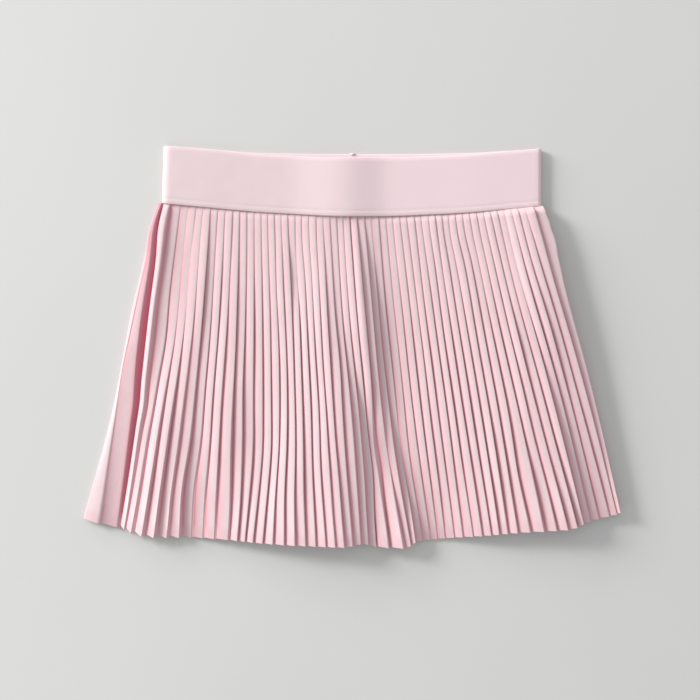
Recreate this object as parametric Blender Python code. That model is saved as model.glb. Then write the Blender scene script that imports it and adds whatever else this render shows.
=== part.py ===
"""Pleated athletic shorts laid flat on a surface, front up.

A wide elastic waistband carries two pleated legs.  Each leg has a front and a
back panel of thin cloth.  The front panels are open zigzag pleats that fan out
from the band to the hem; the back panels lie flat, with each pleat pressed up
into a narrow fold.  X runs across the waist, +Y towards the band, +Z up.
"""

import bmesh
import bpy
import numpy as np

MM = 0.001

# Cloth and seams, in millimetres.
WALL = 1.05
BAND_WALL = 2.0
BAND_SLOT = 1.0
SEAM_GAP = 0.3
HEM_SLIT = 1.6
CROTCH = 0.66
SLIT_POWER = 3

# Least share of the wall's thickness that a panel's side edge stands on.
EDGE_SLOPE = 0.75

# Sections down a panel, from the band (0) to the hem (1).
FRONT_SECTIONS = 9
BACK_SECTIONS = 6

# Pleats: the valley lines are numbered from the left side fold to the right one.
LAST_LINE = 55
CENTRE_LINE = 28

# Place across of the front's valley lines at four levels.
LINE_COLUMNS = ("line", "waist", "hip", "thigh", "hem")
FRONT_LINES = (
    (0, -177.0, -202.0, -221.0, -247.0),
    (1, -174.0, -197.5, -217.0, -229.0),
    (2, -171.0, -191.5, -203.0, -218.0),
    (3, -166.0, -181.0, -193.0, -209.0),
    (5, -152.0, -162.0, -177.0, -190.5),
    (8, -131.0, -138.5, -148.0, -157.0),
    (11, -111.0, -115.5, -122.0, -126.0),
    (12, -104.5, -107.0, -110.0, -113.5),
    (14, -91.5, -91.0, -90.5, -98.0),
    (15, -85.0, -83.0, -82.0, -90.5),
    (19, -60.0, -55.0, -52.5, -51.5),
    (24, -27.5, -22.5, -15.5, -6.5),
    (26, -15.0, -9.0, 1.5, 8.0),
    (28, -3.0, 4.5, 14.5, 21.5),
    (29, 3.5, 12.5, 22.5, 33.5),
    (30, 10.5, 19.0, 31.0, 48.0),
    (31, 17.0, 25.0, 38.0, 53.5),
    (35, 43.0, 54.0, 66.0, 79.0),
    (40, 75.5, 89.0, 104.5, 120.5),
    (44, 101.0, 118.0, 137.0, 153.5),
    (46, 113.5, 133.0, 155.5, 177.5),
    (49, 133.0, 155.0, 181.0, 207.0),
    (52, 152.0, 177.5, 204.0, 228.5),
    (54, 165.5, 193.5, 219.0, 241.5),
    (55, 175.5, 200.5, 225.0, 245.5),
)

# The same for the back, whose pleats lie evenly in each leg.
BACK_LINES = (
    (0, -176.5, -201.5, -220.5, -246.0),
    (CENTRE_LINE, -3.0, 4.5, 14.5, 21.5),
    (LAST_LINE, 175.0, 200.0, 224.5, 244.5),
)

# Height of the front's valley lines: the large folds of the laid cloth.
FRONT_HEIGHTS = (
    (0, 2.8, 2.8, 2.9, 3.0),
    (2, 3.5, 3.8, 4.4, 5.0),
    (4, 3.9, 4.4, 5.2, 5.6),
    (9, 3.9, 5.0, 6.0, 5.8),
    (16, 3.9, 5.2, 6.4, 6.2),
    (22, 3.9, 5.2, 6.4, 6.0),
    (27, 3.9, 4.5, 5.0, 5.0),
    (28, 3.8, 4.4, 4.6, 4.8),
    (29, 4.0, 5.4, 5.6, 5.4),
    (32, 3.9, 4.5, 4.9, 5.0),
    (38, 3.9, 5.2, 6.2, 6.0),
    (46, 3.9, 5.2, 6.5, 6.3),
    (51, 3.9, 4.5, 5.2, 5.2),
    (53, 3.7, 3.9, 4.4, 4.4),
    (55, 2.7, 2.7, 2.7, 2.7),
)

# Rise of each pleat's ridge above its valleys at the hem, and the share of the
# pleat's width that its broad left face takes there.
HEM_PLEATS = (
    # line, rise, share
    (0, 2.6, 0.70),
    (3, 4.0, 0.72),
    (8, 3.9, 0.74),
    (14, 3.6, 0.78),
    (24, 3.4, 0.80),
    (28, 3.4, 0.78),
    (32, 2.8, 0.84),
    (44, 3.2, 0.82),
    (52, 3.0, 0.78),
    (55, 1.6, 0.78),
)
WAIST_RISE = 1.1
WAIST_SHARE = 0.88
OPENING_POWER = 0.8

# Back folds: half width at the surface and at the top, and height at the two ends.
FOLD_FOOT = 1.3
FOLD_CREST = 0.6
FOLD_RISE_WAIST = 0.9
FOLD_RISE_HEM = 1.9
FLAT_LINES_AT_EDGE = 4

# Hem, as the place along Y of the cloth's edge at each valley line.
HEM = (
    # line, y
    (0, -158.7),
    (1, -162.5),
    (3, -166.5),
    (4, -171.0),
    (5, -173.5),
    (8, -174.5),
    (12, -177.3),
    (15, -179.6),
    (19, -182.0),
    (24, -183.4),
    (26, -180.5),
    (27, -181.2),
    (28, -183.4),
    (30, -184.3),
    (31, -182.0),
    (32, -179.0),
    (35, -177.0),
    (40, -173.5),
    (45, -170.2),
    (48, -168.2),
    (50, -163.5),
    (52, -160.0),
    (54, -157.5),
    (55, -154.0),
)
BACK_HEM_LIFT = 1.5

# How far a ridge reaches past its valleys at the hem, mostly over its last part.
HEM_TOOTH = 0.6
TOOTH_POWER = 4

# Waistband edges at places across: the back layer's top edge stands higher in
# the middle than the front's.
BAND = (
    # x, front_top, back_top, low, rise of the front layer
    (-175.0, 184.9, 184.5, 131.8, 0.0),
    (-130.0, 181.5, 181.9, 127.6, 0.2),
    (-90.0, 177.0, 178.8, 124.0, 0.1),
    (-40.0, 174.6, 177.7, 121.0, 0.7),
    (0.0, 173.9, 177.4, 119.6, 0.1),
    (60.0, 174.6, 177.6, 120.8, 0.4),
    (110.0, 176.8, 178.6, 123.5, 0.2),
    (140.0, 179.5, 180.2, 126.3, 0.2),
    (175.0, 182.2, 181.9, 129.3, 0.0),
)
BAND_LEFT_LOW = -175.6
BAND_LEFT_TOP = -173.8
BAND_RIGHT = 174.0
BAND_ROWS = 4
BAND_SIDE_STEPS = 16
BAND_END_STEPS = 6

# Colours of the cloth and the elastic.
CLOTH_PINK = (0.80, 0.58, 0.62, 1.0)
BAND_PINK = (0.80, 0.64, 0.67, 1.0)
CLOTH_ROUGHNESS = 0.75
BAND_ROUGHNESS = 0.65


def column(table, index):
    """One column of a table as an array."""
    return np.array([row[index] for row in table], float)


def smooth(knots, values, at):
    """Cubic curve through a table's values that never overshoots them."""
    knots = np.asarray(knots, float)
    values = np.asarray(values, float)
    at = np.clip(np.asarray(at, float), knots[0], knots[-1])
    gaps = np.diff(knots)
    rises = np.diff(values) / gaps
    slopes = np.concatenate(([rises[0]], np.zeros(len(knots) - 2), [rises[-1]]))
    before, after = rises[:-1], rises[1:]
    same_way = before * after > 0
    slopes[1:-1][same_way] = 2 / (1 / before[same_way] + 1 / after[same_way])
    place = np.clip(np.searchsorted(knots, at, side="right") - 1, 0, len(gaps) - 1)
    gap = gaps[place]
    t = (at - knots[place]) / gap
    return (
        values[place] * (2 * t**3 - 3 * t**2 + 1)
        + slopes[place] * gap * (t**3 - 2 * t**2 + t)
        + values[place + 1] * (3 * t**2 - 2 * t**3)
        + slopes[place + 1] * gap * (t**3 - t**2)
    )


def level_value(table, line, s):
    """A table's value at a line number and a level, 0 at the band to 1 at the hem."""
    levels = np.linspace(0, 1, len(LINE_COLUMNS) - 1)
    across = [
        smooth(column(table, 0), column(table, i + 1), line) for i in range(len(levels))
    ]
    return float(smooth(levels, [float(value) for value in across], s))


def band_edge(index, x):
    """Y of one of the waistband's edges, or another of its columns, at x."""
    return float(smooth(column(BAND, 0), column(BAND, index), x))


def section_y(line, x, s, lift=0.0):
    """Y of a panel's section: just under the band at s = 0, on the hem at s = 1."""
    start = band_edge(3, x) - SEAM_GAP
    end = float(smooth(column(HEM, 0), column(HEM, 1), line)) + lift
    return start + (end - start) * s


def slit(s):
    """Half the gap between the legs: a seam down to the crotch, then a slit."""
    open_part = max(0.0, (s - CROTCH) / (1 - CROTCH))
    return SEAM_GAP / 2 + (HEM_SLIT - SEAM_GAP) / 2 * open_part**SLIT_POWER


def offset_line(points, distance):
    """The polyline (x, z) moved sideways by a distance, with mitred corners.

    A positive distance moves it to the right-hand side of its direction, which
    is downwards for a line that runs towards +X.  Its two ends move straight up
    or down.
    """
    points = np.asarray(points, float)
    runs = np.diff(points, axis=0)
    runs /= np.linalg.norm(runs, axis=1)[:, None]
    normals = np.column_stack((runs[:, 1], -runs[:, 0]))
    moved = points.copy()
    corners = normals[:-1] + normals[1:]
    scale = 1 + np.sum(normals[:-1] * normals[1:], axis=1)
    moved[1:-1] += distance * corners / scale[:, None]
    for end, normal in ((0, normals[0]), (-1, normals[-1])):
        moved[end, 1] -= distance / max(abs(normal[1]), EDGE_SLOPE)
    return moved


def front_section(first, last, s):
    """Outer polyline of a front panel at level s: valleys and ridges in turn."""
    points = []
    for line in range(first, last + 1):
        x = level_value(FRONT_LINES, line, s)
        if line == CENTRE_LINE:
            x += slit(s) if first == CENTRE_LINE else -slit(s)
        z = level_value(FRONT_HEIGHTS, line, s)
        points.append((x, section_y(line, x, s), z))
        if line == last:
            break
        opening = s**OPENING_POWER
        rise = float(smooth(column(HEM_PLEATS, 0), column(HEM_PLEATS, 1), line + 0.5))
        rise = WAIST_RISE + (rise - WAIST_RISE) * opening
        share = float(smooth(column(HEM_PLEATS, 0), column(HEM_PLEATS, 2), line + 0.5))
        share = WAIST_SHARE + (share - WAIST_SHARE) * opening
        next_x = level_value(FRONT_LINES, line + 1, s)
        ridge_x = x + share * (next_x - x)
        ridge_z = level_value(FRONT_HEIGHTS, line + share, s) + rise
        ridge_y = section_y(line + share, ridge_x, s) - HEM_TOOTH * s**TOOTH_POWER
        points.append((ridge_x, ridge_y, ridge_z))
    return points


def back_section(first, last, s):
    """Underside of a back panel at level s: flat lands with a fold at each line."""
    points = []
    rise_here = FOLD_RISE_WAIST + (FOLD_RISE_HEM - FOLD_RISE_WAIST) * s
    for line in range(first, last + 1):
        x = level_value(BACK_LINES, line, s)
        if line in (first, last):
            if line == CENTRE_LINE:
                x += slit(s) if first == CENTRE_LINE else -slit(s)
            points.append((x, section_y(line, x, s, BACK_HEM_LIFT), 0.0))
            continue
        from_edge = min(line - first, last - line) / FLAT_LINES_AT_EDGE
        height = rise_here * min(1.0, from_edge)
        for dx, dz in (
            (-FOLD_FOOT, 0.0),
            (-FOLD_CREST, height),
            (FOLD_CREST, height),
            (FOLD_FOOT, 0.0),
        ):
            points.append((x + dx, section_y(line, x + dx, s, BACK_HEM_LIFT), dz))
    return points


def skin_pair(section, distance):
    """A section and its copy moved by the wall thickness, both as (x, y, z)."""
    section = np.asarray(section, float)
    moved = offset_line(section[:, (0, 2)], distance)
    other = np.column_stack((moved[:, 0], section[:, 1], moved[:, 1]))
    return section, other


def slab(name, upper, lower, material):
    """Closed wall between two grids of points, each a list of sections."""
    rows, points = len(upper), len(upper[0])
    model = bmesh.new()
    top = [[model.verts.new(np.array(p) * MM) for p in row] for row in upper]
    bottom = [[model.verts.new(np.array(p) * MM) for p in row] for row in lower]

    def face(*corners):
        model.faces.new(corners)

    for i in range(rows - 1):
        for j in range(points - 1):
            face(top[i + 1][j], top[i + 1][j + 1], top[i][j + 1], top[i][j])
            face(bottom[i][j], bottom[i][j + 1], bottom[i + 1][j + 1], bottom[i + 1][j])
        face(top[i][0], bottom[i][0], bottom[i + 1][0], top[i + 1][0])
        face(top[i + 1][-1], bottom[i + 1][-1], bottom[i][-1], top[i][-1])
    for j in range(points - 1):
        face(top[0][j + 1], bottom[0][j + 1], bottom[0][j], top[0][j])
        face(top[-1][j], bottom[-1][j], bottom[-1][j + 1], top[-1][j + 1])
    return finish_object(name, model, material)


def finish_object(name, model, material):
    """Turns a finished bmesh into an object with one material."""
    bmesh.ops.triangulate(model, faces=model.faces, quad_method="FIXED")
    bmesh.ops.recalc_face_normals(model, faces=model.faces)
    mesh = bpy.data.meshes.new(name)
    model.to_mesh(mesh)
    model.free()
    mesh.materials.append(material)
    item = bpy.data.objects.new(name, mesh)
    bpy.context.collection.objects.link(item)
    return item


def front_panel(name, first, last, material):
    """A pleated front panel between two valley lines."""
    upper, lower = [], []
    for s in np.linspace(0, 1, FRONT_SECTIONS):
        outer, inner = skin_pair(front_section(first, last, s), WALL)
        upper.append(outer)
        lower.append(inner)
    return slab(name, upper, lower, material)


def back_panel(name, first, last, material):
    """A back panel that lies on the surface between two valley lines."""
    upper, lower = [], []
    for s in np.linspace(0, 1, BACK_SECTIONS):
        under, inner = skin_pair(back_section(first, last, s), -WALL)
        upper.append(inner)
        lower.append(under)
    return slab(name, upper, lower, material)


def band_loop(across, inward):
    """Loop round the flattened band, as (place across, height, front share).

    The place across runs from -1 to 1 and the front share from 0 on the back
    layer to 1 on the front one.  Inward moves the loop into the elastic.
    """
    full = 2 * BAND_WALL + BAND_SLOT
    half = full / 2
    radius = half - inward
    reach = 1 - half / across
    loop = []
    for i in range(BAND_SIDE_STEPS):
        loop.append((reach * (2 * i / BAND_SIDE_STEPS - 1), half + radius, 1.0))
    for i in range(BAND_END_STEPS):
        turn = np.pi * i / BAND_END_STEPS
        out = reach + radius * np.sin(turn) / across
        loop.append((out, half + radius * np.cos(turn), (1 + np.cos(turn)) / 2))
    for i in range(BAND_SIDE_STEPS):
        loop.append((reach * (1 - 2 * i / BAND_SIDE_STEPS), half - radius, 0.0))
    for i in range(BAND_END_STEPS):
        turn = np.pi * (1 + i / BAND_END_STEPS)
        out = -reach + radius * np.sin(turn) / across
        loop.append((out, half + radius * np.cos(turn), (1 + np.cos(turn)) / 2))
    return loop


def band_row(inward, level):
    """Points round the band at a level, 0 at its lower edge to 1 at its top."""
    left = BAND_LEFT_LOW + (BAND_LEFT_TOP - BAND_LEFT_LOW) * level
    middle = (left + BAND_RIGHT) / 2
    across = (BAND_RIGHT - left) / 2
    row = []
    for place, z, front in band_loop(across, inward):
        x = middle + across * place
        low = band_edge(3, x)
        top = front * band_edge(1, x) + (1 - front) * band_edge(2, x)
        lift = front * band_edge(4, x)
        row.append((x, low + (top - low) * level, z + lift))
    return row


def waistband(material):
    """The elastic loop: front and back layers with a thin slot between them."""
    levels = np.linspace(0, 1, BAND_ROWS)
    model = bmesh.new()
    outer, inner = (
        [[model.verts.new(np.array(p) * MM) for p in band_row(inward, s)] for s in levels]
        for inward in (0.0, BAND_WALL)
    )
    count = len(outer[0])
    for j in range(count):
        k = (j + 1) % count
        for i in range(BAND_ROWS - 1):
            model.faces.new((outer[i][j], outer[i][k], outer[i + 1][k], outer[i + 1][j]))
            model.faces.new((inner[i][k], inner[i][j], inner[i + 1][j], inner[i + 1][k]))
        model.faces.new((outer[0][k], outer[0][j], inner[0][j], inner[0][k]))
        model.faces.new((outer[-1][j], outer[-1][k], inner[-1][k], inner[-1][j]))
    return finish_object("waistband", model, material)


def fabric(name, colour, roughness):
    """A plain matt cloth material."""
    material = bpy.data.materials.new(name)
    material.use_nodes = True
    shader = material.node_tree.nodes["Principled BSDF"]
    shader.inputs["Base Color"].default_value = colour
    shader.inputs["Roughness"].default_value = roughness
    shader.inputs["Metallic"].default_value = 0.0
    return material


def main():
    for item in list(bpy.data.objects):
        bpy.data.objects.remove(item)
    elastic = fabric("waistband_elastic", BAND_PINK, BAND_ROUGHNESS)
    waistband(elastic)
    for side, first, last in (
        ("left", 0, CENTRE_LINE),
        ("right", CENTRE_LINE, LAST_LINE),
    ):
        cloth = fabric("pleated_cloth_" + side, CLOTH_PINK, CLOTH_ROUGHNESS)
        front_panel("front_" + side + "_leg", first, last, cloth)
        cloth = fabric("back_cloth_" + side, CLOTH_PINK, CLOTH_ROUGHNESS)
        back_panel("back_" + side + "_leg", first, last, cloth)


main()
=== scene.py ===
import bmesh
import bpy
import numpy as np
from mathutils import Matrix, Vector


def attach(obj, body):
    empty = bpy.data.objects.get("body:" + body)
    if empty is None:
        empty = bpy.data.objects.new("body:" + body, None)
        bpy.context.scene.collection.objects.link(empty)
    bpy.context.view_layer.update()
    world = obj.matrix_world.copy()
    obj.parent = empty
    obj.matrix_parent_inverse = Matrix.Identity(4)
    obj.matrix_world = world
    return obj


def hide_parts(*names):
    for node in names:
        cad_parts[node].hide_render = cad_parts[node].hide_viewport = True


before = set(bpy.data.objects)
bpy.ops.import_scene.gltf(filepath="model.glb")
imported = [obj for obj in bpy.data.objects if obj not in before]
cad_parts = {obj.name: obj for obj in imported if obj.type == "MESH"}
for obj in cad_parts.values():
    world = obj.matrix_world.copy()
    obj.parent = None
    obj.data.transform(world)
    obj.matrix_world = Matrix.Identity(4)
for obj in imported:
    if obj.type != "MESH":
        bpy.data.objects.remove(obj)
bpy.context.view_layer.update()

# Looks of the pleated shorts laid flat: the cloth of the two legs, the elastic
# band, the floor, the lights and the camera.  Lengths are millimetres up to the
# section on the studio, which is in metres.  Left and right, and the numbers of
# the pleat lines, run as in the photo: from the left side, -X, to the right.

MM = 0.001

# ---------------------------------------------------------------- the cloth
CLOTH_THICK = 0.30
SHARP_ANGLE = 58.0
FIRST_LINE = 0
CENTRE_LINE = 28
LAST_LINE = 55
SEED = 7

# Rows of the cloth: those tucked under the band, then down to the hem.  A row's
# level is 0 at the band's edge and 1 at the hem.
LENGTH = 300.0
TUCK = 5.0
TUCK_ROWS = 3
TUCK_SQUEEZE = 0.035
ROWS = 60
ROW_GROWTH = 0.25

# Place across of the front's valley lines at four levels.
FRONT_LINES = (
    # line, waist, hip, thigh, hem
    (0, -177.0, -202.0, -221.0, -247.0),
    (1, -176.0, -199.6, -217.6, -231.6),
    (2, -170.6, -187.4, -199.0, -213.8),
    (3, -164.6, -179.6, -191.0, -208.2),
    (5, -150.6, -161.1, -175.4, -189.7),
    (8, -130.6, -137.7, -146.9, -155.9),
    (11, -110.2, -114.6, -121.4, -125.1),
    (12, -103.6, -106.2, -109.5, -113.0),
    (14, -90.7, -90.2, -90.4, -98.2),
    (15, -84.3, -82.3, -82.0, -91.0),
    (19, -59.4, -54.7, -52.3, -51.4),
    (24, -27.3, -22.4, -16.3, -6.4),
    (26, -14.9, -8.7, 1.2, 8.4),
    (28, -2.8, 4.9, 14.4, 22.5),
    (29, 3.8, 12.9, 22.1, 34.7),
    (30, 10.8, 19.4, 30.4, 49.3),
    (31, 17.3, 25.5, 37.4, 54.7),
    (35, 43.2, 54.4, 65.7, 79.2),
    (40, 75.8, 89.1, 104.2, 120.2),
    (44, 101.2, 117.9, 136.2, 152.7),
    (46, 113.6, 132.9, 154.6, 177.0),
    (49, 132.9, 154.8, 180.0, 206.6),
    (51, 145.3, 169.7, 195.3, 218.6),
    (52, 151.5, 177.1, 203.0, 227.0),
    (53, 158.3, 184.6, 210.9, 237.0),
    (54, 165.6, 192.4, 218.8, 243.4),
    (55, 174.9, 199.4, 224.6, 246.3),
)
BACK_LINES = (
    # line, waist, hip, thigh, hem
    (FIRST_LINE, -176.5, -201.5, -220.5, -246.0),
    (CENTRE_LINE, -3.0, 4.5, 15.5, 26.5),
    (LAST_LINE, 175.0, 200.0, 224.5, 244.5),
)

# Bends of single pleat lines: how far and over how many lines and levels.
NUDGES = (
    # line, level, shift, lines, levels
    (0.3, 0.08, -3.6, 1.1, 0.07),
    (1.0, 0.52, -1.4, 0.5, 0.10),
    (2.0, 0.06, -3.2, 0.8, 0.09),
    (2.0, 0.62, 0.6, 0.5, 0.05),
    (3.0, 0.63, 1.1, 0.6, 0.05),
    (3.7, 0.72, -1.2, 0.8, 0.12),
    (4.0, 0.42, 1.7, 0.9, 0.10),
    (8.0, 0.84, -2.0, 1.0, 0.10),
    (8.0, 0.90, -1.2, 2.0, 0.10),
    (9.3, 0.70, 1.5, 0.9, 0.12),
    (12.5, 0.90, 0.9, 1.0, 0.12),
    (13.0, 0.53, -1.9, 0.9, 0.14),
    (17.5, 0.22, -0.9, 2.0, 0.12),
    (18.0, 0.86, -1.6, 1.8, 0.12),
    (21.0, 0.08, -1.1, 2.0, 0.08),
    (22.0, 0.62, 1.7, 2.0, 0.15),
    (23.5, 0.80, 1.1, 0.8, 0.10),
    (25.0, 0.44, 1.4, 0.8, 0.12),
    (28.0, 0.79, 1.5, 0.9, 0.08),
    (29.0, 0.75, 1.5, 0.7, 0.07),
    (32.2, 1.05, -2.4, 1.0, 0.14),
    (32.4, 0.78, -1.9, 1.3, 0.16),
    (43.0, 0.07, -1.4, 3.0, 0.07),
    (45.0, 0.82, -2.1, 0.7, 0.12),
    (46.5, 0.86, 1.0, 0.8, 0.12),
    (51.5, 0.20, -1.5, 2.5, 0.15),
    (55.0, 0.05, 0.7, 0.5, 0.02),
    (55.0, 0.11, 0.6, 0.5, 0.02),
    (55.0, 0.13, 2.6, 0.6, 0.09),
    (55.0, 0.17, -0.6, 0.5, 0.02),
)

# Height of the front along its path across: a whole number is a valley line,
# and the ridge after it stands on the height at RIDGE_AT past it.
RIDGE_AT = 0.85
FRONT_HEIGHTS = (
    # line, waist, hip, thigh, hem
    (0.0, 2.6, 2.4, 2.4, 2.6),
    (0.9, 2.8, 3.0, 3.5, 3.8),
    (1.0, 2.6, 2.9, 3.4, 3.6),
    (1.8, 3.6, 4.0, 3.7, 2.4),
    (2.0, 2.0, 1.4, 1.2, 1.6),
    (2.8, 3.2, 3.6, 3.5, 2.3),
    (3.0, 3.2, 3.3, 3.2, 2.8),
    (3.8, 2.9, 2.3, 3.7, 4.2),
    (5.8, 3.4, 3.6, 5.6, 6.0),
    (6.0, 3.4, 3.7, 4.4, 4.8),
    (7.8, 3.7, 5.2, 5.4, 5.2),
    (8.0, 3.6, 3.6, 3.6, 2.6),
    (8.8, 3.7, 3.8, 3.8, 2.1),
    (10.0, 3.7, 4.2, 4.3, 2.7),
    (11.8, 3.8, 5.0, 5.4, 4.8),
    (12.0, 3.7, 4.2, 4.4, 4.6),
    (14.0, 3.8, 4.4, 4.0, 5.2),
    (19.8, 3.9, 6.4, 8.2, 10.6),
    (20.0, 3.9, 6.0, 8.2, 10.4),
    (23.8, 4.2, 9.2, 11.6, 13.2),
    (24.0, 4.4, 9.0, 11.5, 12.4),
    (25.0, 4.6, 8.5, 11.2, 11.0),
    (26.0, 4.5, 8.0, 10.3, 9.4),
    (27.0, 4.4, 8.2, 8.4, 7.6),
    (28.0, 4.5, 9.0, 5.6, 5.4),
    (28.8, 4.4, 9.8, 7.0, 6.6),
    (29.0, 4.3, 8.8, 4.9, 6.4),
    (29.8, 4.4, 7.9, 5.4, 8.2),
    (30.0, 4.2, 7.2, 5.3, 8.0),
    (31.0, 4.1, 4.9, 3.8, 7.2),
    (31.8, 4.0, 4.2, 3.2, 7.6),
    (32.0, 3.9, 3.8, 2.9, 5.4),
    (33.0, 3.8, 3.7, 2.9, 3.4),
    (34.0, 3.8, 4.1, 3.4, 2.1),
    (35.0, 3.8, 4.4, 4.0, 1.7),
    (36.0, 3.9, 4.8, 4.6, 2.0),
    (38.0, 4.0, 5.5, 5.6, 4.2),
    (40.0, 4.2, 6.2, 6.6, 6.2),
    (44.0, 4.6, 7.8, 8.6, 8.6),
    (48.8, 5.6, 10.0, 11.5, 11.4),
    (49.0, 5.7, 10.1, 11.4, 9.8),
    (49.8, 5.8, 10.3, 12.0, 9.8),
    (50.0, 5.9, 10.6, 11.7, 9.2),
    (51.0, 6.6, 11.3, 10.6, 7.2),
    (52.5, 7.7, 12.0, 9.4, 5.0),
    (53.8, 8.8, 11.8, 9.4, 6.6),
    (55.0, 7.2, 9.0, 7.6, 5.4),
)

# How far each pleat's ridge stands over that height.
RISES = (
    # line, waist, hip, thigh, hem
    (0.0, 0.3, 0.3, 0.5, 0.7),
    (1.0, 0.9, 0.9, 0.8, 0.3),
    (2.0, 1.4, 1.8, 1.6, 1.3),
    (3.0, 0.7, 0.6, 1.6, 2.0),
    (4.0, 0.7, 0.7, 2.4, 2.6),
    (5.0, 0.8, 0.8, 2.4, 2.6),
    (6.0, 0.9, 1.1, 1.8, 1.7),
    (7.0, 1.0, 1.8, 1.3, 1.1),
    (8.0, 1.0, 1.1, 1.1, 0.3),
    (9.0, 1.1, 1.8, 1.8, 0.7),
    (11.0, 1.1, 1.8, 2.2, 1.2),
    (12.0, 1.1, 1.6, 2.0, 2.8),
    (13.0, 1.1, 1.8, 2.0, 2.7),
    (15.0, 1.1, 1.8, 2.0, 2.6),
    (18.0, 1.1, 1.9, 2.3, 2.3),
    (20.0, 1.2, 2.0, 2.3, 2.0),
    (23.0, 1.2, 1.7, 2.1, 2.1),
    (24.0, 1.2, 1.7, 2.2, 1.9),
    (26.0, 1.1, 1.5, 1.7, 1.5),
    (27.0, 1.1, 1.8, 1.2, 1.6),
    (28.0, 1.2, 2.0, 1.0, 2.2),
    (29.0, 1.1, 1.3, 1.5, 2.2),
    (31.0, 1.0, 0.8, 0.6, 1.4),
    (32.0, 1.1, 0.9, 0.7, 0.4),
    (33.0, 1.2, 1.3, 1.2, 0.2),
    (34.0, 1.2, 1.6, 1.8, 0.2),
    (37.0, 1.4, 1.9, 2.1, 0.9),
    (42.0, 1.7, 2.1, 2.5, 2.6),
    (49.0, 2.0, 2.0, 2.0, 2.1),
    (50.0, 2.1, 2.0, 1.4, 1.0),
    (51.0, 2.2, 2.0, 1.3, 1.1),
    (52.0, 2.1, 1.9, 1.4, 1.6),
    (54.0, 1.5, 1.5, 1.6, 2.3),
)

# Single pleats whose ridge stands higher or lower along a part of their length.
LIFTS = (
    # line, level, lift, lines, levels
    (2.0, 0.10, 0.8, 0.5, 0.10),
    (2.0, 0.78, -0.6, 0.5, 0.16),
    (3.0, 0.76, -0.9, 0.5, 0.14),
    (4.0, 0.16, -0.6, 0.5, 0.14),
    (5.0, 0.22, -0.6, 0.5, 0.12),
    (7.0, 0.45, -0.9, 0.5, 0.16),
    (9.0, 0.92, -0.6, 0.5, 0.10),
    (12.0, 0.72, 0.7, 0.5, 0.20),
    (17.5, 0.20, 0.7, 0.9, 0.12),
    (19.0, 0.20, -1.2, 0.5, 0.10),
    (19.0, 0.80, 0.8, 0.5, 0.16),
    (20.0, 0.42, 0.7, 0.5, 0.16),
    (27.0, 0.50, 0.7, 0.5, 0.08),
    (28.0, 0.52, 0.7, 0.5, 0.08),
    (28.0, 0.70, -0.9, 0.5, 0.12),
    (29.0, 0.42, 0.8, 0.5, 0.14),
    (29.0, 0.74, -1.3, 0.5, 0.10),
    (30.0, 0.10, -0.5, 0.5, 0.12),
    (30.0, 0.32, 0.7, 0.5, 0.14),
    (30.0, 0.78, 1.6, 0.5, 0.10),
    (31.0, 0.74, -1.2, 0.5, 0.12),
    (39.0, 0.06, 0.7, 0.5, 0.10),
    (42.0, 0.78, 1.1, 0.5, 0.12),
    (43.0, 0.80, 0.7, 0.5, 0.08),
    (45.0, 0.88, 1.0, 0.5, 0.12),
    (47.0, 0.42, 0.9, 0.5, 0.10),
    (47.0, 0.92, 0.8, 0.5, 0.10),
    (49.0, 0.78, 0.6, 0.5, 0.15),
    (50.0, 0.40, 1.2, 0.6, 0.20),
    (51.0, 0.40, 0.7, 0.5, 0.20),
    (53.0, 1.00, -1.3, 0.5, 0.16),
    (54.0, 0.30, 0.7, 0.5, 0.30),
)

# The broad face's share of each pleat's width, up to its ridge.
SHARES = (
    # line, waist, hip, thigh, hem
    (0.0, 0.88, 0.88, 0.88, 0.88),
    (1.0, 0.20, 0.50, 0.76, 0.82),
    (2.0, 0.62, 0.55, 0.55, 0.60),
    (3.0, 0.93, 0.92, 0.72, 0.52),
    (4.0, 0.99, 0.95, 0.78, 0.64),
    (5.0, 0.99, 0.95, 0.80, 0.68),
    (6.0, 0.99, 0.95, 0.82, 0.72),
    (7.0, 0.99, 0.95, 0.84, 0.76),
    (9.0, 0.99, 0.95, 0.87, 0.80),
    (12.0, 0.99, 0.96, 0.89, 0.85),
    (14.0, 0.99, 0.96, 0.93, 0.90),
    (30.0, 0.99, 0.96, 0.93, 0.88),
    (46.0, 0.99, 0.96, 0.93, 0.88),
    (54.0, 0.99, 0.97, 0.95, 0.93),
)

# Pleats whose broad face is narrower along a part, so that the return shows.
NARROWER = (
    # line, level, change of share, lines, levels
    (28.0, 0.72, -0.42, 0.5, 0.13),
)

# Broad faces that sag or swell in their middle.
SAGS = (
    # line, level, height, lines, levels
    (1.0, 0.80, -0.3, 0.5, 0.35),
    (6.0, 0.95, -0.5, 1.2, 0.12),
    (14.0, 0.95, 0.4, 1.2, 0.15),
    (28.0, 0.30, 0.5, 0.5, 0.20),
)

# How far a ridge's corner hangs past the valleys at the hem.
TEETH = (
    # line, depth
    (0.0, 1.5),
    (1.0, 2.4),
    (3.0, 2.6),
    (6.0, 2.6),
    (8.0, 1.0),
    (24.0, 0.6),
    (28.0, 1.2),
    (32.0, 0.6),
    (44.0, 0.9),
    (54.0, 0.8),
)
TEETH_FROM = 0.75

# Random unevenness: slow waves down each pleat, and their size by what they move.
WAVES = 3
WAVE_TURNS = 0.85
WANDER_ACROSS = 0.16
WANDER_HEIGHT = 0.18
WANDER_RISE = 0.13
WANDER_SHARE = 0.02
WANDER_BACK = 0.25

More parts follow.
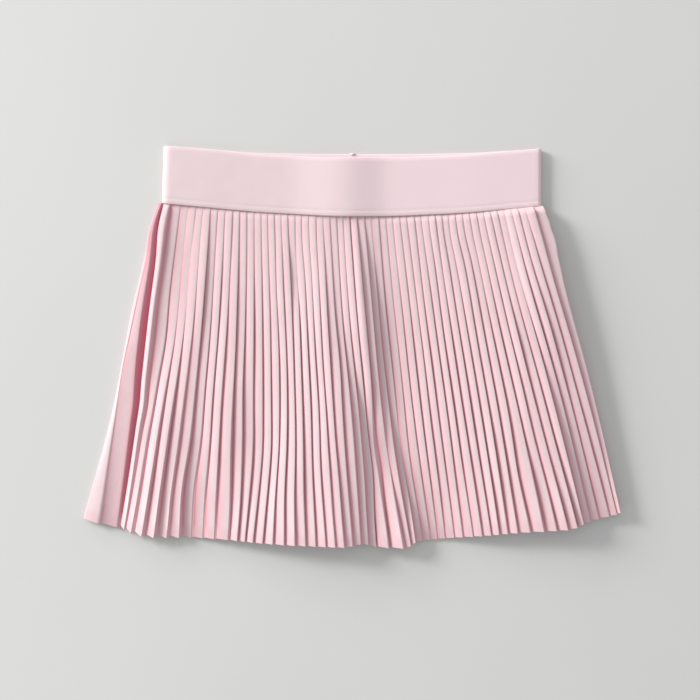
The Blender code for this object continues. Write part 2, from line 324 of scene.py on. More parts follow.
# One pleat's section.  The valley is tucked under the ridge before it near the
# band, the broad face climbs in an arch to the ridge, and the return drops.
UNDERLAP = 1.6
UNDERLAP_ENDS = 0.5
FOLD_RADIUS = 0.13
FACE_STEPS = (0.0, 0.05, 0.14, 0.30, 0.54, 0.76)
FACE_END = 5 * FOLD_RADIUS
RETURN_STEPS = (0.5, 0.88)
ARCH_POWER = 4.5
SLOPE_POWER = 1.05
ARCH_LOSSES = (
    # from level, over levels, loss of the arch
    (0.0, 0.6, 0.20),
    (0.7, 0.25, 0.35),
)
CROWN = 0.12
CROWN_ENDS = 0.6
RIDGE_PROFILE = (
    # across and up, in fold radii, and painted shade
    (-1.0, 0.0, 0.0),
    (0.0, -0.7, 0.0),
    (-0.4, -2.0, 0.3),
)

# Painted shade in the cloth's colour inside the folds, a deeper red that stands in for the shade and
# reddened light between pleats, from 0 on the open face to 1 in a valley.
PAINTED_FOLD_SHADE = 0.75
PAINTED_SHADE_POWER = 2.6
PAINTED_SHADE_CHANGES = (
    # place among the lines, level, change of painted shade, lines, levels
    (0.0, 0.90, -0.45, 0.50, 0.35),
    (1.0, 0.05, 0.9, 0.80, 0.20),
    (1.1, 0.75, -0.30, 0.20, 0.30),
    (1.5, 0.95, 0.10, 0.30, 0.20),
    (1.9, 0.45, 0.5, 0.22, 0.35),
    (1.9, 0.85, 0.4, 0.20, 0.30),
)
# Painted shade on the cloth's turn round the side.
PAINTED_SIDE_SHADE = 0.2
HEM_TINT_FROM = 0.975
HEM_TINT_FADE = 0.004

# Pleats of the back: a narrow fold at each line and a flat land between.
BACK_PLEAT = (
    # part of the way to the next line, step across, share of the fold's height, painted shade
    (0.0, 0.0, 1.0, 1.0),
    (0.0, 0.35, 0.35, 0.6),
    (0.0, 0.8, 0.0, 0.1),
    (0.5, 0.0, 0.0, 0.0),
    (1.0, -0.55, 0.0, 0.0),
    (1.0, -0.25, 0.12, 0.2),
    (1.0, -0.45, 0.7, 0.8),
)
BACK_FOLD_WAIST = 0.8
BACK_FOLD_HEM = 2.1
BACK_EDGE_LINES = 4
BACK_EDGE_FOLD = 0.15
BACK_OFF_FLOOR = 0.05

# The cloth's turn round the side, the gap between the two legs, which grows near
# the hem, and the flaps that close each leg's inner side in its lower part.
SIDE_STEPS = 7
SIDE_BULGE = 0.9
SEAM_GAP = 0.12
PART_BY = 1.3
PART_FROM = 0.91
FLAP_REACH = 0.06
FLAP_REACH_LOW = 0.96
FLAP_LOW_FROM = 0.62
FLAP_LOW_FADE = 0.06

# How the cloth is pressed flat between the band's layers: its height there, the
# share that is left of its pleats, and the length over which it springs up.  At
# the band's edge the front has begun to spring up, and it follows the bulge.
FRONT_PRESSED = 2.55
FRONT_PLEATS_LEFT = 0.25
FRONT_SPRING = 4.0
FRONT_SPRUNG_AT_BAND = 0.15
FRONT_FOLLOWS_BAND = 0.8
BACK_PRESSED = 1.75
BACK_PLEATS_LEFT = 0.2
BACK_SPRING = 6.0

# Hem of the front at each valley line, along Y.
HEM = (
    # line, y
    (0, -158.7),
    (1, -162.5),
    (3, -166.5),
    (4, -170.0),
    (5, -172.5),
    (8, -174.5),
    (12, -177.3),
    (15, -179.6),
    (19, -182.0),
    (24, -183.4),
    (26, -180.5),
    (27, -181.2),
    (28, -183.4),
    (30, -184.3),
    (31, -182.0),
    (32, -179.0),
    (35, -177.0),
    (40, -173.5),
    (45, -169.4),
    (48, -167.0),
    (50, -161.8),
    (52, -157.4),
    (54, -153.4),
    (55, -151.6),
)
BACK_HEM_LIFT = 1.5

# ---------------------------------------------------------------- the band
# The band's edges along X, and how far its front layer bulges up.
BAND = (
    # x, front_top, back_top, low, rise of the front layer
    (-175.0, 184.9, 184.5, 131.8, 0.0),
    (-130.0, 181.5, 181.9, 127.6, 0.2),
    (-90.0, 177.0, 178.8, 124.0, 0.1),
    (-60.0, 175.3, 178.0, 122.2, 0.2),
    (-8.0, 173.9, 177.4, 119.7, 2.9),
    (35.0, 174.0, 177.4, 120.0, 0.3),
    (70.0, 174.9, 177.7, 121.3, 0.5),
    (110.0, 176.8, 178.6, 123.5, 0.6),
    (140.0, 179.5, 180.2, 126.3, 0.3),
    (175.0, 182.2, 181.9, 129.3, 0.0),
)
FRONT_TOP, BACK_TOP, LOW, BULGE = 1, 2, 3, 4

# The loop laid flat: where it ends, its height over the floor, the elastic's own
# thickness, how far its ends are rounded, and the points along each stretch.
BAND_LEFT_LOW = -175.6
BAND_LEFT_TOP = -173.8
BAND_RIGHT = 174.0
BAND_HEIGHT = 5.2
BAND_THICK = 1.3
BAND_ROUND_LEFT = 7.5
BAND_ROUND_RIGHT = 4.0
BAND_COLUMNS = 120
BAND_TURN_LEFT = 19
BAND_TURN_RIGHT = 15
BAND_ROWS = 14
BAND_TALL = 54.0
BAND_EDGE = 0.55 / BAND_TALL
WELD = 0.01

# The band's section, by level from its lower edge, 0, to its top, 1, and by
# depth in its thickness from the outer face, 0, to the inner face, 1.
EDGE_PROFILE = (
    # distance from the edge, in parts of BAND_EDGE, and depth
    (0.0, 0.35),
    (0.4, 0.12),
    (1.0, 0.0),
)
STITCH_GROOVE = ((0.078, 0.0), (0.090, 0.09), (0.102, 0.0))
INNER_FACE = ((0.66, 1.0), (0.33, 1.0))

# The end of a thread on the back layer's top edge.
THREAD_END = (0.5, 177.5, 1.5)
THREAD_LONG = 4.4
THREAD_RADIUS = 0.75
THREAD_TIP = 0.6
THREAD_SIDES = 10


# ---------------------------------------------------------------- curves
def column(table, index):
    return np.array([row[index] for row in table], float)


def smooth(knots, values, at):
    """Cubic curve through values at knots that never overshoots them."""
    at = np.clip(np.asarray(at, float), knots[0], knots[-1])
    gaps = np.diff(knots)
    rises = np.diff(values) / gaps
    slopes = np.concatenate(([rises[0]], np.zeros(len(knots) - 2), [rises[-1]]))
    before, after = rises[:-1], rises[1:]
    same_way = before * after > 0
    slopes[1:-1][same_way] = 2 / (1 / before[same_way] + 1 / after[same_way])
    place = np.clip(np.searchsorted(knots, at, side="right") - 1, 0, len(gaps) - 1)
    gap = gaps[place]
    t = (at - knots[place]) / gap
    return (
        values[place] * (2 * t**3 - 3 * t**2 + 1)
        + slopes[place] * gap * (t**3 - 2 * t**2 + t)
        + values[place + 1] * (3 * t**2 - 2 * t**3)
        + slopes[place + 1] * gap * (t**3 - t**2)
    )


def curve(table, index, at):
    """A table's column as a smooth curve over its first column."""
    return smooth(column(table, 0), column(table, index), at)


def spread(table, lines, levels):
    """A table's values as a grid: a row for each level, a column for each line."""
    knots = np.linspace(0, 1, len(table[0]) - 1)
    across = np.array([curve(table, i + 1, lines) for i in range(len(knots))])
    return np.array([smooth(knots, across[:, j], levels) for j in range(len(lines))]).T


def ease(t):
    """Smooth step from 0 to 1."""
    t = np.clip(t, 0, 1)
    return t * t * (3 - 2 * t)


def local_changes(table, lines, levels):
    """A table's single bends or lifts, each fading out round its place, as a grid."""
    total = np.zeros((len(levels), len(lines)))
    for line, level, size, width, height in table:
        across = np.exp(-(((lines - line) / width) ** 2))
        down = np.exp(-(((levels - level) / height) ** 2))
        total += size * np.outer(down, across)
    return total


def wander(rng, count, levels, size):
    """Slow random waves down each of many pleats, as a grid."""
    total = np.zeros((len(levels), count))
    for wave in range(1, WAVES + 1):
        phase = rng.uniform(0, 2 * np.pi, count)
        height = rng.normal(0, size / wave, count)
        total += height * np.sin(2 * np.pi * WAVE_TURNS * wave * levels[:, None] + phase)
    return total


# ---------------------------------------------------------------- pleats
def levels_down():
    """Levels of the rows: below 0 under the band, 0 at its edge, 1 at the hem."""
    tucked = -np.linspace(TUCK, TUCK / TUCK_ROWS, TUCK_ROWS) / LENGTH
    t = np.linspace(0, 1, ROWS)
    return np.concatenate((tucked, (1 - ROW_GROWTH) * t + ROW_GROWTH * t**2))


def tucked_in(levels):
    """Factor across that keeps the tucked rows inside the band's rounded ends.

    The squeeze has its full size from half way up the tuck.
    """
    depth = np.clip(-levels * LENGTH / TUCK, 0, 1)
    return (1 - TUCK_SQUEEZE * ease(2 * depth))[:, None]


def all_but_ends(count):
    """1 for each line but the first and the last, which keep their place."""
    inside = np.ones(count)
    inside[[0, -1]] = 0
    return inside


def lie_of_pleats(lines, levels, rng):
    """Where a front panel's valleys and ridges lie, across and up, as grids."""
    pleats = lines[:-1]
    s = np.clip(levels, 0, 1)
    inside = all_but_ends(len(lines))
    across = spread(FRONT_LINES, lines, s) + local_changes(NUDGES, lines, s)
    across += wander(rng, len(lines), s, WANDER_ACROSS) * inside
    valley_z = spread(FRONT_HEIGHTS, lines, s) + wander(rng, len(lines), s, WANDER_HEIGHT) * inside
    rise = spread(RISES, pleats, s) * (1 + wander(rng, len(pleats), s, WANDER_RISE))
    rise += local_changes(LIFTS, pleats, s)
    share = spread(SHARES, pleats, s) + wander(rng, len(pleats), s, WANDER_SHARE)
    share += local_changes(NARROWER, pleats, s)
    ridge_x = across[:, :-1] + share * np.diff(across, axis=1)
    ridge_z = spread(FRONT_HEIGHTS, pleats + RIDGE_AT, s) + rise
    underlap = UNDERLAP * (1 - ease(s / UNDERLAP_ENDS))[:, None] * inside
    squeeze = tucked_in(levels)
    return (across - underlap) * squeeze, valley_z, ridge_x * squeeze, ridge_z


def broad_face(line, valley, ridge, sag, s):
    """Stations of a pleat's face: each one's x, z, end at the hem, painted shade and place.

    A sag is largest in the face's middle, where 4 t (1 - t) is 1.
    """
    (x0, z0, end0), (x1, z1, end1) = valley, ridge
    arch = 1 - sum(loss * ease((s - start) / over) for start, over, loss in ARCH_LOSSES)
    top = z1 + CROWN * (1 - ease(s / CROWN_ENDS))
    for t in (*FACE_STEPS, 1 - FACE_END / np.mean(x1 - x0)):
        climb = (1 - (1 - t) ** ARCH_POWER) * arch + t**SLOPE_POWER * (1 - arch)
        z = z0 + (top - z0) * climb + sag * 4 * t * (1 - t)
        # Painted shade, darkest where the face leaves the valley.
        painted_shade = (1 - t) ** PAINTED_SHADE_POWER
        yield x0 + (x1 - x0) * t, z, end0 + (end1 - end0) * t, painted_shade, line + t * RIDGE_AT


def ridge_and_return(line, ridge, valley):
    """Stations over a pleat's ridge and down to the next valley."""
    (x1, z1, end1), (x2, z2, end2) = ridge, valley
    for across, up, painted_shade in RIDGE_PROFILE:
        x = x1 + across * FOLD_RADIUS
        z = z1 + up * FOLD_RADIUS
        yield x, z, end1, painted_shade, line + RIDGE_AT
    # The return goes on from the last of these points.
    for t in RETURN_STEPS:
        # Painted shade grows down the return towards the valley.
        deeper = painted_shade + (1 - painted_shade) * t
        place = line + RIDGE_AT + t * (1 - RIDGE_AT)
        yield x + (x2 - x) * t, z + (z2 - z) * t, end1 + (end2 - end1) * t, deeper, place


def stations_to_grids(stations, rows):
    """Each value of the stations as a grid: a row for each level."""
    return [
        np.array([station[i] * np.ones(rows) for station in stations]).T
        for i in range(len(stations[0]))
    ]


def front_grid(lines, levels, rng):
    """Points of a pleated front panel, and the painted shade of each."""
    s = np.clip(levels, 0, 1)
    valley_x, valley_z, ridge_x, ridge_z = lie_of_pleats(lines, levels, rng)
    valley_end = curve(HEM, 1, lines)
    ridge_end = curve(HEM, 1, lines[:-1] + RIDGE_AT) - curve(TEETH, 1, lines[:-1])
    sag = local_changes(SAGS, lines[:-1], s)
    stations = []
    for j, line in enumerate(lines[:-1]):
        valley = valley_x[:, j], valley_z[:, j], valley_end[j]
        ridge = ridge_x[:, j], ridge_z[:, j], ridge_end[j]
        next_valley = valley_x[:, j + 1], valley_z[:, j + 1], valley_end[j + 1]
        stations += broad_face(line, valley, ridge, sag[:, j], s)
        stations += ridge_and_return(line, ridge, next_valley)
    stations.append((*next_valley, 1, lines[-1]))
    x, z, end, painted_shade, place = stations_to_grids(stations, len(levels))
    # Painted shade in the folds, with its local changes.
    painted_shade = np.clip(painted_shade * PAINTED_FOLD_SHADE + local_changes(PAINTED_SHADE_CHANGES, place[0], s), 0, 1)
    # The teeth grow towards the hem.
    plain = curve(HEM, 1, np.linspace(lines[0], lines[-1], len(stations)))
    end = plain + (end - plain) * ease((s - TEETH_FROM) / (1 - TEETH_FROM))[:, None]
    start = curve(BAND, LOW, x)
    y = start + (end - start) * levels[:, None]
    pressed = FRONT_PRESSED + FRONT_PLEATS_LEFT * (z - z.min(axis=1, keepdims=True))
    pressed += FRONT_FOLLOWS_BAND * curve(BAND, BULGE, x)
    sprung = ease((start - y) / FRONT_SPRING + FRONT_SPRUNG_AT_BAND)
    return np.stack((x, y, pressed + (z - pressed) * sprung), axis=2), painted_shade


def back_grid(lines, levels, rng):
    """Points of a back panel, lying on the floor, and the painted shade of each."""
    s = np.clip(levels, 0, 1)
    across = spread(BACK_LINES, lines, s)
    across += wander(rng, len(lines), s, WANDER_BACK) * all_but_ends(len(lines))
    across *= tucked_in(levels)
    ends = curve(HEM, 1, lines) + BACK_HEM_LIFT
    from_edge = np.minimum(lines - lines[0], lines[-1] - lines)
    height = (BACK_FOLD_WAIST + (BACK_FOLD_HEM - BACK_FOLD_WAIST) * s)[:, None]
    height = height * np.clip(from_edge / BACK_EDGE_LINES, BACK_EDGE_FOLD, 1)
    land = CLOTH_THICK / 2 + BACK_OFF_FLOOR
    stations = []
    for j in range(len(lines) - 1):
        gap = across[:, j + 1] - across[:, j]
        for part, step, share, painted_shade in BACK_PLEAT:
            x = across[:, j] + part * gap + step
            z = land + share * height[:, j + int(part)]
            stations.append((x, z, ends[j] + part * (ends[j + 1] - ends[j]), painted_shade))
    stations.append((across[:, -1], land, ends[-1], 0))
    x, z, end, painted_shade = stations_to_grids(stations, len(levels))
    start = curve(BAND, LOW, x)
    y = start + (end - start) * levels[:, None]
    pressed = BACK_PRESSED + BACK_PLEATS_LEFT * z
    sprung = ease((start - y) / BACK_SPRING)
    return np.stack((x, y, pressed + (z - pressed) * sprung), axis=2), painted_shade


# ---------------------------------------------------------------- legs
def side_turn(upper, lower, outward):
    """Rounded turn of the cloth from the front's side edge to the back's."""
    middle = (upper + lower) / 2
    half = (upper - lower) / 2
    turn = []
    for angle in np.linspace(0, np.pi, SIDE_STEPS)[1:-1]:
        points = middle + half * np.cos(angle)
        points[:, 0] += outward * SIDE_BULGE * np.sin(angle)
        turn.append(points)
    return np.stack(turn, axis=1)


def wrap(front, back, levels, outward):
    """A leg's points as one cloth: from its inner side over the front and round to the back.

    Both panels' columns run outwards.  A flap at each end closes the inner side.
    """
    meet = (front[:, :1] + back[:, :1]) / 2
    low = ease((levels - FLAP_LOW_FROM) / FLAP_LOW_FADE)[:, None, None]
    reach = FLAP_REACH + (FLAP_REACH_LOW - FLAP_REACH) * low
    front_flap = front[:, :1] + (meet - front[:, :1]) * reach
    back_flap = back[:, :1] + (meet - back[:, :1]) * reach
    turn = side_turn(front[:, -1], back[:, -1], outward)
    return np.concatenate((front_flap, front, turn, back[:, ::-1], back_flap), axis=1)


def grid_mesh(name, grid, values=None, closed=False):
    """A smooth quad sheet through a grid of points, with its cloth lengths as UVs."""
    rows, count = grid.shape[:2]
    mesh = bpy.data.meshes.new(name)
    faces = []
    for i in range(rows - 1):
        for j in range(count if closed else count - 1):
            k = (j + 1) % count
            faces.append((i * count + j, i * count + k, (i + 1) * count + k, (i + 1) * count + j))
    mesh.from_pydata((grid.reshape(-1, 3) * MM).tolist(), [], faces)
    # Lengths across are measured along the middle row, and down along one column.
    across = np.linalg.norm(np.diff(grid[rows // 2], axis=0), axis=1)
    down = np.linalg.norm(np.diff(grid[:, count // 3], axis=0), axis=1)
    u = np.concatenate(([0], np.cumsum(across)))
    v = np.concatenate(([0], np.cumsum(down)))
    layer = mesh.uv_layers.new(name="cloth")
    loops = np.empty(len(mesh.loops), dtype=np.int32)
    mesh.loops.foreach_get("vertex_index", loops)
    uv = np.column_stack((u[loops % count], v[loops // count])) * MM
    layer.data.foreach_set("uv", uv.ravel().astype(np.float32))
    for key, grid_values in (values or {}).items():
        attribute = mesh.attributes.new(key, "FLOAT", "POINT")
        attribute.data.foreach_set("value", grid_values.ravel().astype(np.float32))
    mesh.shade_smooth()
    item = bpy.data.objects.new(name, mesh)
    bpy.context.collection.objects.link(item)
    return item


def thicken(item, thickness):
    """Gives a sheet its thickness, with crisp cut edges."""
    shell = item.modifiers.new("cloth thickness", "SOLIDIFY")
    shell.thickness = thickness * MM
    shell.offset = 0
    shell.use_rim = True
    bpy.context.view_layer.update()
    solid = item.evaluated_get(bpy.context.evaluated_depsgraph_get())
    mesh = bpy.data.meshes.new_from_object(solid)
    item.modifiers.clear()
    item.data = mesh
    mesh.shade_smooth()
    mesh.set_sharp_from_angle(angle=np.radians(SHARP_ANGLE))


def leg(side, first, last, outward, material):
    """One leg's cloth, front and back, on the place of its two solids."""
    levels = levels_down()
    rng = np.random.default_rng(SEED + first)
    lines = np.arange(first, last + 1)
    front, front_painted_shade = front_grid(lines, levels, rng)
    back, back_painted_shade = back_grid(lines, levels, rng)
    if outward < 0:
        front, front_painted_shade, back, back_painted_shade = (
            panel[:, ::-1] for panel in (front, front_painted_shade, back, back_painted_shade)
        )
    front[:, 0, 0] += outward * (SEAM_GAP + PART_BY * ease((levels - PART_FROM) / (1 - PART_FROM)))
    back[:, 0, 0] += outward * SEAM_GAP
    grid = wrap(front, back, levels, outward)
    # Painted shade: full on the flaps of the inner side, light on the turn round the side.
    flap_painted_shade = np.ones((len(levels), 1))
    turn_painted_shade = np.full((len(levels), SIDE_STEPS - 2), PAINTED_SIDE_SHADE)
    painted_shade = np.concatenate((flap_painted_shade, front_painted_shade, turn_painted_shade, back_painted_shade[:, ::-1], flap_painted_shade), axis=1)
    if outward > 0:
        grid, painted_shade = grid[:, ::-1], painted_shade[:, ::-1]
    hem = ease((levels - HEM_TINT_FROM) / HEM_TINT_FADE)[:, None] * np.ones(grid.shape[1])
    # The fold value carries the painted shade of the folds to the material.
    item = grid_mesh(side + "_leg_cloth", grid, {"fold": painted_shade, "hem": hem})
    item.data.materials.append(material)
    thicken(item, CLOTH_THICK)
    return item


# ---------------------------------------------------------------- waistband
def band_profile():
    """Levels and depths round the band's section, from its lower edge up the outer
    face, over the top edge and down the inner face."""
    low_edge = [(away * BAND_EDGE, depth) for away, depth in EDGE_PROFILE]
    top_edge = [(1 - level, depth) for level, depth in reversed(low_edge)]
    face = [(level, 0.0) for level in np.linspace(0, 1, BAND_ROWS)[2:-1]]
    inner_top = [(level, 1 - depth) for level, depth in reversed(top_edge)]
    inner_low = [(level, 1 - depth) for level, depth in reversed(low_edge)]
    return [*low_edge, *STITCH_GROOVE, *face, *top_edge, *inner_top, *INNER_FACE, *inner_low]


def band_loop(level):
    """Points round the flattened loop at a level: x and height over the floor."""
    left = BAND_LEFT_LOW + (BAND_LEFT_TOP - BAND_LEFT_LOW) * level
    half = BAND_HEIGHT / 2
    straight = np.linspace(left + BAND_ROUND_LEFT, BAND_RIGHT - BAND_ROUND_RIGHT, BAND_COLUMNS)
    points = [(x, BAND_HEIGHT) for x in straight]
    for angle in np.linspace(0, np.pi, BAND_TURN_RIGHT)[1:-1]:
        x = BAND_RIGHT - BAND_ROUND_RIGHT * (1 - np.sin(angle))
        points.append((x, half + half * np.cos(angle)))
    points += [(x, 0.0) for x in straight[::-1]]
    for angle in np.linspace(np.pi, 2 * np.pi, BAND_TURN_LEFT)[1:-1]:
        x = left + BAND_ROUND_LEFT * (1 + np.sin(angle))
        points.append((x, half + half * np.cos(angle)))
    return np.array(points)


def add_thread_end(shell):
    """The end of a thread, a small nub on the back layer's top edge."""
    place = Matrix.Translation(Vector(THREAD_END) * MM)
    bmesh.ops.create_cone(
        shell, cap_ends=True, segments=THREAD_SIDES, depth=THREAD_LONG * MM,
        radius1=THREAD_RADIUS * MM, radius2=THREAD_TIP * THREAD_RADIUS * MM,
        matrix=place @ Matrix.Rotation(np.pi / 2, 4, "Y"),
    )


def waistband(material):
    """The elastic loop with rounded edges, as one closed shell."""
    rows = []
    for level, depth in band_profile():
        points = band_loop(level)
        ahead = np.roll(points, -1, axis=0) - np.roll(points, 1, axis=0)
        ahead /= np.linalg.norm(ahead, axis=1)[:, None]
        inward = np.column_stack((ahead[:, 1], -ahead[:, 0]))
        moved = points + inward * depth * BAND_THICK
        x = points[:, 0]
        front = points[:, 1] / BAND_HEIGHT
        low = curve(BAND, LOW, x)
        top = front * curve(BAND, FRONT_TOP, x) + (1 - front) * curve(BAND, BACK_TOP, x)
        z = moved[:, 1] + front * curve(BAND, BULGE, x)
        rows.append(np.column_stack((moved[:, 0], low + (top - low) * level, z)))
    rows.append(rows[0])
    item = grid_mesh("waistband_elastic", np.array(rows), closed=True)
    shell = bmesh.new()
    shell.from_mesh(item.data)
    bmesh.ops.remove_doubles(shell, verts=shell.verts, dist=WELD * MM)
    add_thread_end(shell)
    bmesh.ops.recalc_face_normals(shell, faces=shell.faces)
    shell.to_mesh(item.data)
    shell.free()
    item.data.shade_smooth()
    item.data.materials.append(material)
    return item


# ---------------------------------------------------------------- materials
# Each pair of colours is the two ends of a slow unevenness. The elastic's colour gets paler along X
# between two places given in metres below: painted light, darker towards the left and paler towards the
# right.
CLOTH_OPEN = ((0.700, 0.546, 0.568, 1), (0.730, 0.576, 0.598, 1))
# Painted shade: the deep red colour mixed into the cloth inside the folds.
CLOTH_PAINTED_FOLD_SHADE = (0.62, 0.16, 0.225, 1)
CLOTH_HEM = (0.68, 0.44, 0.48, 1)
HEM_TINT = 0.5
ELASTIC = ((0.715, 0.570, 0.600, 1), (0.740, 0.595, 0.622, 1))
# Painted light: the paler colour that the elastic takes towards its right end.
ELASTIC_PAINTED_LIGHT = (0.815, 0.650, 0.690, 1)
ELASTIC_PAINTED_LIGHT_SPAN = (-0.12, 0.10)
FLOOR = ((0.62, 0.625, 0.615, 1), (0.64, 0.645, 0.635, 1))
MOTTLE_RANGE = (0.3, 0.7)
MOTTLE_DETAIL = 3.0
WEAVE_DEPTH = 0.1

# Places of the colours among a mix node's inputs and outputs.
MIX_FACTOR, MIX_FIRST, MIX_SECOND, MIX_RESULT = 0, 6, 7, 2


def new_material(name):
    material = bpy.data.materials.new(name)
    material.use_nodes = True
    return material, material.node_tree, material.node_tree.nodes["Principled BSDF"]


def feed(tree, node, values):
    """Gives a node's inputs other nodes' outputs or plain values."""
    for key, value in values.items():
        if isinstance(value, bpy.types.NodeSocket):
            tree.links.new(value, node.inputs[key])
        else:
            node.inputs[key].default_value = value
    return node


def add_node(tree, kind, values):
    return feed(tree, tree.nodes.new(kind), values)


def calculated(tree, operation, *values):
    node = tree.nodes.new("ShaderNodeMath")
    node.operation = operation
    return feed(tree, node, dict(enumerate(values))).outputs[0]


def along(tree, output, axis):
    """One axis of a coordinate node's output."""
    return add_node(tree, "ShaderNodeSeparateXYZ", {"Vector": output}).outputs[axis]


def object_place(tree):
    return tree.nodes.new("ShaderNodeTexCoord").outputs["Object"]


def mesh_value(tree, name):
    """A value that the mesh holds at each of its points."""
    node = tree.nodes.new("ShaderNodeAttribute")
    node.attribute_name = name
    return node.outputs["Fac"]


def mixed(tree, factor, first, second):
    mix = tree.nodes.new("ShaderNodeMix")
    mix.data_type = "RGBA"
    return feed(tree, mix, {MIX_FACTOR: factor, MIX_FIRST: first, MIX_SECOND: second}).outputs[MIX_RESULT]


def weave(tree, pitch, strength):
    """Bump of crossed threads, spaced by the cloth's own lengths."""
    uv = tree.nodes.new("ShaderNodeUVMap")
    uv.uv_map = "cloth"
    turn = 2 * np.pi / (pitch * MM)
    waves = [
        calculated(tree, "SINE", calculated(tree, "MULTIPLY", along(tree, uv.outputs["UV"], axis), turn))
        for axis in ("X", "Y")
    ]
    height = calculated(tree, "MULTIPLY", *waves)
    values = {"Strength": strength, "Distance": WEAVE_DEPTH * MM, "Height": height}
    return add_node(tree, "ShaderNodeBump", values).outputs["Normal"]


def mottle(tree, scale, low=0.0, high=1.0):
    """Slow unevenness as a value from low to high."""
    noise = add_node(tree, "ShaderNodeTexNoise", {
        "Vector": object_place(tree), "Scale": scale, "Detail": MOTTLE_DETAIL,
    })
    span = add_node(tree, "ShaderNodeMapRange", {
        "Value": noise.outputs["Fac"], "From Min": MOTTLE_RANGE[0], "From Max": MOTTLE_RANGE[1],
        "To Min": low, "To Max": high,
    })
    return span.outputs["Result"]


def cloth_material():
    """Pale pink plain weave, with painted shade in a deeper red inside the folds, and deeper in colour at
    the hem's edge.
    """
    material, tree, shader = new_material("pleated_cloth_weave")
    open_colour = mixed(tree, mottle(tree, scale=40.0), *CLOTH_OPEN)
    # Painted shade in the folds, mixed in by the mesh's fold value.
    with_painted_shade = mixed(tree, mesh_value(tree, "fold"), open_colour, CLOTH_PAINTED_FOLD_SHADE)
    hem = calculated(tree, "MULTIPLY", mesh_value(tree, "hem"), HEM_TINT)
    feed(tree, shader, {
        "Base Color": mixed(tree, hem, with_painted_shade, CLOTH_HEM),
        "Normal": weave(tree, pitch=0.42, strength=0.25),
        "Roughness": mottle(tree, scale=300.0, low=0.58, high=0.70),
        "Sheen Weight": 0.15,
        "Sheen Roughness": 0.5,
        "Specular IOR Level": 0.35,
    })
    return material


def elastic_material():
    """Smooth woven elastic, a little paler than the cloth, with painted light that makes it paler still
    towards the right.
    """
    material, tree, shader = new_material("waistband_elastic_knit")
    colour = mixed(tree, mottle(tree, scale=60.0), *ELASTIC)
    # Painted light: the colour turns paler towards the right end.
    painted_light_rightward = add_node(tree, "ShaderNodeMapRange", {
        "Value": along(tree, object_place(tree), "X"),
        "From Min": ELASTIC_PAINTED_LIGHT_SPAN[0], "From Max": ELASTIC_PAINTED_LIGHT_SPAN[1],
    })
    feed(tree, shader, {
        "Base Color": mixed(tree, painted_light_rightward.outputs["Result"], colour, ELASTIC_PAINTED_LIGHT),
        "Normal": weave(tree, pitch=0.8, strength=0.35),
        "Roughness": mottle(tree, scale=400.0, low=0.50, high=0.62),
        "Sheen Weight": 0.2,
        "Sheen Roughness": 0.4,
        "Specular IOR Level": 0.4,
    })
    return material


def floor_material():
    """Matt pale grey, faintly uneven."""
    material, tree, shader = new_material("studio_floor")
    feed(tree, shader, {
        "Base Color": mixed(tree, mottle(tree, scale=3.0), *FLOOR),
        "Roughness": 0.9,
        "Specular IOR Level": 0.2,
    })
    return material


# ---------------------------------------------------------------- build
cloth = cloth_material()
elastic = elastic_material()
left_leg = leg("left", FIRST_LINE, CENTRE_LINE, -1, cloth)
right_leg = leg("right", CENTRE_LINE, LAST_LINE, 1, cloth)
band = waistband(elastic)
for piece, slot, nodes in (
    (left_leg, "pleated_cloth", ("front_left_leg", "back_left_leg")),
    (right_leg, "pleated_cloth", ("front_right_leg", "back_right_leg")),
    (band, "waistband_elastic", ("waistband",)),
):
    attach(piece, "root")
    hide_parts(*nodes)

# ---------------------------------------------------------------- studio, in metres
FLOOR_HALF = 4.0
FLOOR_Z = -0.0002

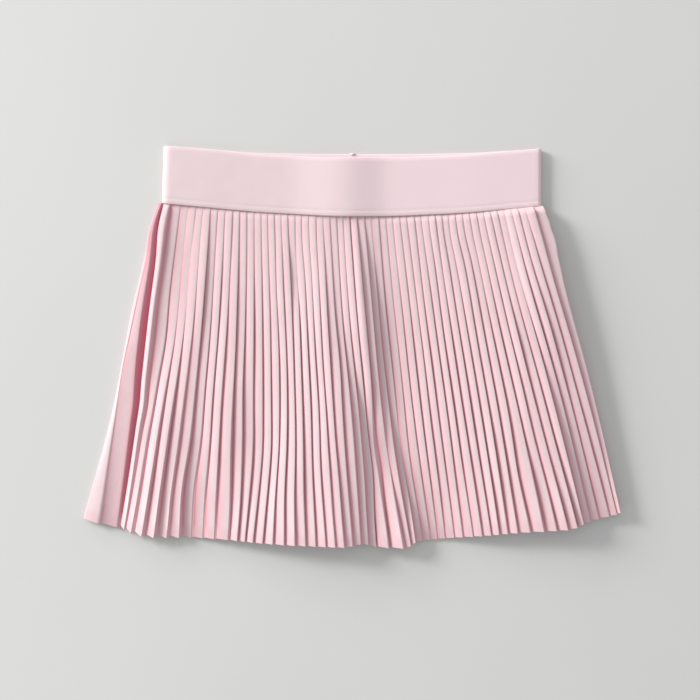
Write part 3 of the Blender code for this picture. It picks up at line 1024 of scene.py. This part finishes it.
# The lights stand round the middle of the object.  A window's side is its angle
# from -X towards +Y.
WINDOWS = (
    # name, angle over the floor, side, size, watts
    ("window", 18.0, 28.0, (1.6, 0.9), 265.0),
    ("window_low", 8.5, 26.0, (2.4, 0.7), 150.0),
    ("window_far", 10.0, 60.0, (2.4, 0.7), 75.0),
)
WINDOW_AWAY = 5.0
WINDOW_COLOUR = (1.0, 0.985, 0.955)
FILL_PLACE = (-1.0, -0.9, 0.6)
FILL_SIZE = (0.8, 0.6)
FILL_WATTS = 1.6
FILL_COLOUR = (1.0, 0.985, 0.965)
WORLD_COLOUR = (0.995, 1.0, 1.005, 1)
WORLD_STRENGTH = 0.59

# The view is VIEW_WIDTH wide at VIEW_LEVEL over the floor.
VIEW_WIDTH = 0.644
VIEW_LEVEL = 0.005
CAMERA_HEIGHT = 1.3
LOOK_AT = (-0.0023, -0.0032)
SENSOR = 36.0


def area_light(name, place, size, watts, colour):
    """A rectangular light that faces the middle of the object."""
    data = bpy.data.lights.new(name, "AREA")
    data.shape = "RECTANGLE"
    data.size, data.size_y = size
    data.energy = watts
    data.color = colour
    item = bpy.data.objects.new(name, data)
    item.location = place
    item.rotation_euler = (-Vector(place)).to_track_quat("-Z", "Y").to_euler()
    bpy.context.collection.objects.link(item)


corners = [(x * FLOOR_HALF, y * FLOOR_HALF, FLOOR_Z) for x, y in ((-1, -1), (1, -1), (1, 1), (-1, 1))]
floor_mesh = bpy.data.meshes.new("floor")
floor_mesh.from_pydata(corners, [], [(0, 1, 2, 3)])
floor = bpy.data.objects.new("floor", floor_mesh)
bpy.context.collection.objects.link(floor)
floor.data.materials.append(floor_material())

for name, angle, side, size, watts in WINDOWS:
    up, turn = np.radians(angle), np.radians(side)
    ahead = (-np.cos(up) * np.cos(turn), np.cos(up) * np.sin(turn), np.sin(up))
    area_light(name, Vector(ahead) * WINDOW_AWAY, size, watts, WINDOW_COLOUR)
area_light("fill", FILL_PLACE, FILL_SIZE, FILL_WATTS, FILL_COLOUR)
world = bpy.data.worlds.new("studio")
bpy.context.scene.world = world
world.use_nodes = True
background = world.node_tree.nodes["Background"]
feed(world.node_tree, background, {"Color": WORLD_COLOUR, "Strength": WORLD_STRENGTH})

camera_data = bpy.data.cameras.new("camera")
camera_data.sensor_width = SENSOR
camera_data.lens = SENSOR * (CAMERA_HEIGHT - VIEW_LEVEL) / VIEW_WIDTH
camera = bpy.data.objects.new("camera", camera_data)
camera.location = (*LOOK_AT, CAMERA_HEIGHT)
bpy.context.collection.objects.link(camera)
bpy.context.scene.camera = camera
bpy.context.scene.view_settings.view_transform = "Standard"
